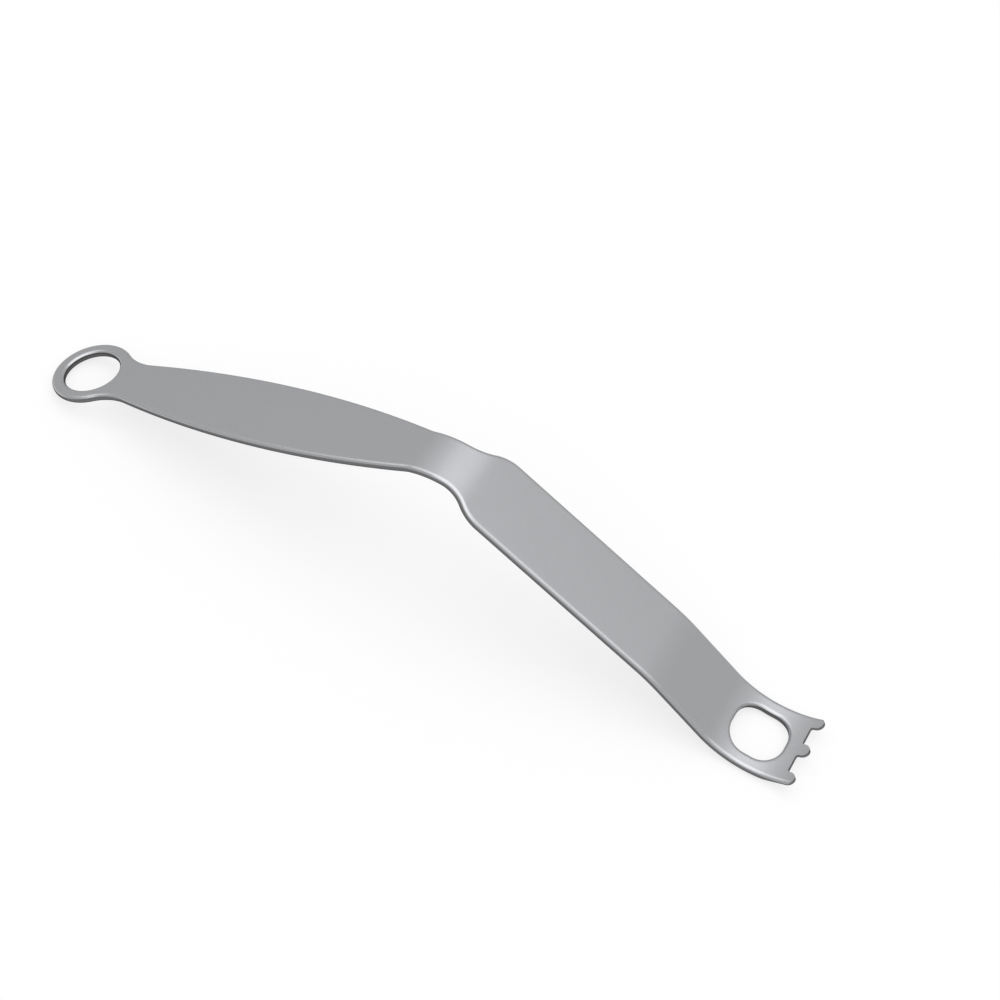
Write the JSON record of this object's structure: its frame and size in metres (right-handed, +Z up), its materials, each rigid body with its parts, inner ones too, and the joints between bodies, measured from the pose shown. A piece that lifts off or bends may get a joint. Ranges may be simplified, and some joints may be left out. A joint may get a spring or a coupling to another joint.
{
  "type": "handheld surgical retractor",
  "caption": "Bent flat steel plate with a finger ring, a leaf-shaped grip and a blade that ends in a slotted, toothed tip, for holding tissue back by hand.",
  "frame": {"origin": "middle of the footprint, on the surface that the retractor lies on", "axes": "+X from the finger ring to the teeth, +Z up, +Y across the plate"},
  "size_m": [0.3012, 0.03, 0.0602],
  "materials": {
    "satin_steel": "satin, fine glass-bead blasted stainless steel with smoother rounded edges"
  },
  "bodies": {
    "root": {"retractor": "satin_steel"}
  },
  "joints": []
}
